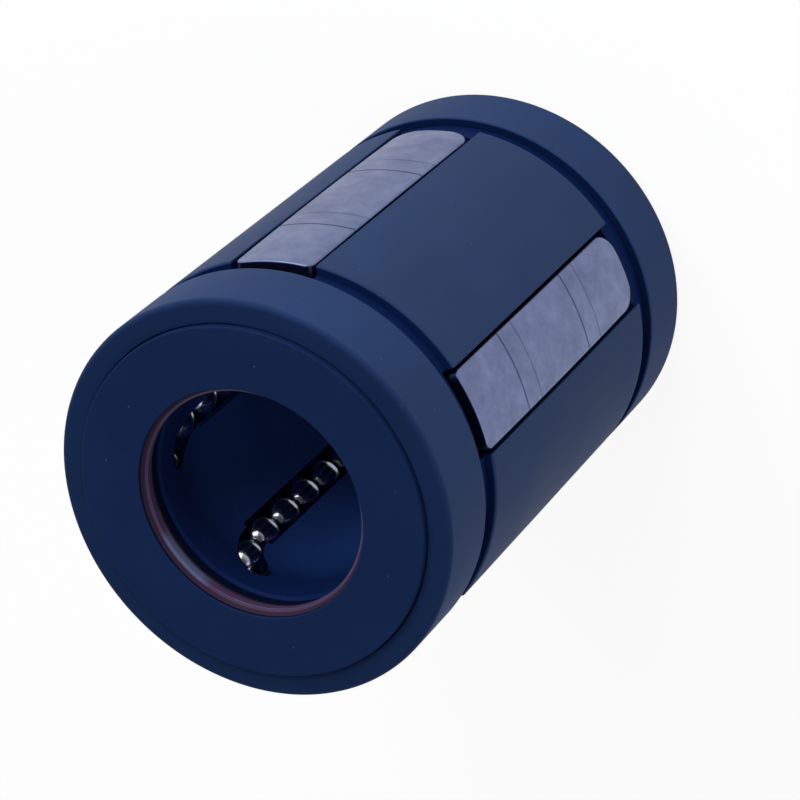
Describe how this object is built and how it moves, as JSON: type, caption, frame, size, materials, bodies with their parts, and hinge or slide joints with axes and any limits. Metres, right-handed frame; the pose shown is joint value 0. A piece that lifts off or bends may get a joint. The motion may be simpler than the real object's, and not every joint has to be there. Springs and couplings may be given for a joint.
{
  "type": "linear ball bearing",
  "caption": "Closed, self-aligning linear ball bearing for a round shaft: slotted plastic sleeve with steel load plates, recirculating balls, retaining-ring grooves and shaft seals.",
  "frame": {"origin": "centre of the lower end face, on the bearing axis", "axes": "+Z along the bearing axis, up through the upper end face; +X through the middle of load plate 1"},
  "size_m": [0.022, 0.022, 0.032],
  "materials": {
    "sleeve_plastic": "moulded acetal, fine satin",
    "retainer_plastic": "moulded acetal, smooth",
    "ring_plastic": "moulded acetal, fine satin",
    "cover_plastic": "moulded acetal, fine satin",
    "seal_rubber": "moulded nitrile rubber, semi-gloss",
    "plate_steel": "hardened and tumbled",
    "ball_steel": "polished"
  },
  "bodies": {
    "housing": {"outer_sleeve": "sleeve_plastic", "ball_retainer": "retainer_plastic", "front_end_ring": "ring_plastic", "front_seal_cover": "cover_plastic", "front_seal_lip": "seal_rubber", "rear_end_ring": "ring_plastic", "rear_seal_cover": "cover_plastic", "rear_seal_lip": "seal_rubber"},
    "load_plate_1": {"load_plate_1": "plate_steel"},
    "loaded_row_1": {"loaded_row_1": "ball_steel"},
    "return_row_1": {"return_row_1": "ball_steel"},
    "front_turn_1": {"front_turn_1": "ball_steel"},
    "rear_turn_1": {"rear_turn_1": "ball_steel"},
    "load_plate_2": {"load_plate_2": "plate_steel"},
    "loaded_row_2": {"loaded_row_2": "ball_steel"},
    "return_row_2": {"return_row_2": "ball_steel"},
    "front_turn_2": {"front_turn_2": "ball_steel"},
    "rear_turn_2": {"rear_turn_2": "ball_steel"},
    "load_plate_3": {"load_plate_3": "plate_steel"},
    "loaded_row_3": {"loaded_row_3": "ball_steel"},
    "return_row_3": {"return_row_3": "ball_steel"},
    "front_turn_3": {"front_turn_3": "ball_steel"},
    "rear_turn_3": {"rear_turn_3": "ball_steel"},
    "load_plate_4": {"load_plate_4": "plate_steel"},
    "loaded_row_4": {"loaded_row_4": "ball_steel"},
    "return_row_4": {"return_row_4": "ball_steel"},
    "front_turn_4": {"front_turn_4": "ball_steel"},
    "rear_turn_4": {"rear_turn_4": "ball_steel"},
    "load_plate_5": {"load_plate_5": "plate_steel"},
    "loaded_row_5": {"loaded_row_5": "ball_steel"},
    "return_row_5": {"return_row_5": "ball_steel"},
    "front_turn_5": {"front_turn_5": "ball_steel"},
    "rear_turn_5": {"rear_turn_5": "ball_steel"}
  },
  "joints": [
    {"name": "plate_rock_1", "type": "hinge", "parent": "housing", "child": "load_plate_1", "pos_m": [0.011, 0, 0.0163], "axis": [0, 1, 0], "range_deg": [-0.5, 0.5]},
    {"name": "ball_step_1", "type": "slide", "parent": "housing", "child": "loaded_row_1", "axis": [0, 0, 1], "range_m": [-0.00121, 0.00121]},
    {"name": "ball_return_1", "type": "slide", "parent": "housing", "child": "return_row_1", "axis": [0, 0, 1], "range_m": [-0.00121, 0.00121]},
    {"name": "front_turn_1", "type": "hinge", "parent": "housing", "child": "front_turn_1", "pos_m": [0.00706, 0.00243, 0.02568], "axis": [-0.9981, -0.0609, 0], "range_deg": [-30, 30]},
    {"name": "rear_turn_1", "type": "hinge", "parent": "housing", "child": "rear_turn_1", "pos_m": [0.00706, 0.00243, 0.00632], "axis": [-0.9981, -0.0609, 0], "range_deg": [-30, 30]},
    {"name": "plate_rock_2", "type": "hinge", "parent": "housing", "child": "load_plate_2", "pos_m": [0.0034, 0.01046, 0.0163], "axis": [-0.9511, 0.309, 0], "range_deg": [-0.5, 0.5]},
    {"name": "ball_step_2", "type": "slide", "parent": "housing", "child": "loaded_row_2", "axis": [0, 0, 1], "range_m": [-0.00121, 0.00121]},
    {"name": "ball_return_2", "type": "slide", "parent": "housing", "child": "return_row_2", "axis": [0, 0, 1], "range_m": [-0.00121, 0.00121]},
    {"name": "front_turn_2", "type": "hinge", "parent": "housing", "child": "front_turn_2", "pos_m": [-0.00013, 0.00746, 0.02568], "axis": [-0.2505, -0.9681, 0], "range_deg": [-30, 30]},
    {"name": "rear_turn_2", "type": "hinge", "parent": "housing", "child": "rear_turn_2", "pos_m": [-0.00013, 0.00746, 0.00632], "axis": [-0.2505, -0.9681, 0], "range_deg": [-30, 30]},
    {"name": "plate_rock_3", "type": "hinge", "parent": "housing", "child": "load_plate_3", "pos_m": [-0.0089, 0.00647, 0.0163], "axis": [-0.5878, -0.809, 0], "range_deg": [-0.5, 0.5]},
    {"name": "ball_step_3", "type": "slide", "parent": "housing", "child": "loaded_row_3", "axis": [0, 0, 1], "range_m": [-0.00121, 0.00121]},
    {"name": "ball_return_3", "type": "slide", "parent": "housing", "child": "return_row_3", "axis": [0, 0, 1], "range_m": [-0.00121, 0.00121]},
    {"name": "front_turn_3", "type": "hinge", "parent": "housing", "child": "front_turn_3", "pos_m": [-0.00714, 0.00218, 0.02568], "axis": [0.8433, -0.5374, 0], "range_deg": [-30, 30]},
    {"name": "rear_turn_3", "type": "hinge", "parent": "housing", "child": "rear_turn_3", "pos_m": [-0.00714, 0.00218, 0.00632], "axis": [0.8433, -0.5374, 0], "range_deg": [-30, 30]},
    {"name": "plate_rock_4", "type": "hinge", "parent": "housing", "child": "load_plate_4", "pos_m": [-0.0089, -0.00647, 0.0163], "axis": [0.5878, -0.809, 0], "range_deg": [-0.5, 0.5]},
    {"name": "ball_step_4", "type": "slide", "parent": "housing", "child": "loaded_row_4", "axis": [0, 0, 1], "range_m": [-0.00121, 0.00121]},
    {"name": "ball_return_4", "type": "slide", "parent": "housing", "child": "return_row_4", "axis": [0, 0, 1], "range_m": [-0.00121, 0.00121]},
    {"name": "front_turn_4", "type": "hinge", "parent": "housing", "child": "front_turn_4", "pos_m": [-0.00428, -0.00612, 0.02568], "axis": [0.7717, 0.636, 0], "range_deg": [-30, 30]},
    {"name": "rear_turn_4", "type": "hinge", "parent": "housing", "child": "rear_turn_4", "pos_m": [-0.00428, -0.00612, 0.00632], "axis": [0.7717, 0.636, 0], "range_deg": [-30, 30]},
    {"name": "plate_rock_5", "type": "hinge", "parent": "housing", "child": "load_plate_5", "pos_m": [0.0034, -0.01046, 0.0163], "axis": [0.9511, 0.309, 0], "range_deg": [-0.5, 0.5]},
    {"name": "ball_step_5", "type": "slide", "parent": "housing", "child": "loaded_row_5", "axis": [0, 0, 1], "range_m": [-0.00121, 0.00121]},
    {"name": "ball_return_5", "type": "slide", "parent": "housing", "child": "return_row_5", "axis": [0, 0, 1], "range_m": [-0.00121, 0.00121]},
    {"name": "front_turn_5", "type": "hinge", "parent": "housing", "child": "front_turn_5", "pos_m": [0.00449, -0.00596, 0.02568], "axis": [-0.3664, 0.9305, 0], "range_deg": [-30, 30]},
    {"name": "rear_turn_5", "type": "hinge", "parent": "housing", "child": "rear_turn_5", "pos_m": [0.00449, -0.00596, 0.00632], "axis": [-0.3664, 0.9305, 0], "range_deg": [-30, 30]}
  ],
  "couplings": [
    {"joint": "ball_return_1", "follows": "ball_step_1", "ratio": -1},
    {"joint": "front_turn_1", "follows": "ball_step_1", "rad_per_m": 432.5},
    {"joint": "rear_turn_1", "follows": "ball_step_1", "rad_per_m": 432.5},
    {"joint": "ball_return_2", "follows": "ball_step_2", "ratio": -1},
    {"joint": "front_turn_2", "follows": "ball_step_2", "rad_per_m": 432.5},
    {"joint": "rear_turn_2", "follows": "ball_step_2", "rad_per_m": 432.5},
    {"joint": "ball_return_3", "follows": "ball_step_3", "ratio": -1},
    {"joint": "front_turn_3", "follows": "ball_step_3", "rad_per_m": 432.5},
    {"joint": "rear_turn_3", "follows": "ball_step_3", "rad_per_m": 432.5},
    {"joint": "ball_return_4", "follows": "ball_step_4", "ratio": -1},
    {"joint": "front_turn_4", "follows": "ball_step_4", "rad_per_m": 432.5},
    {"joint": "rear_turn_4", "follows": "ball_step_4", "rad_per_m": 432.5},
    {"joint": "ball_return_5", "follows": "ball_step_5", "ratio": -1},
    {"joint": "front_turn_5", "follows": "ball_step_5", "rad_per_m": 432.5},
    {"joint": "rear_turn_5", "follows": "ball_step_5", "rad_per_m": 432.5}
  ]
}
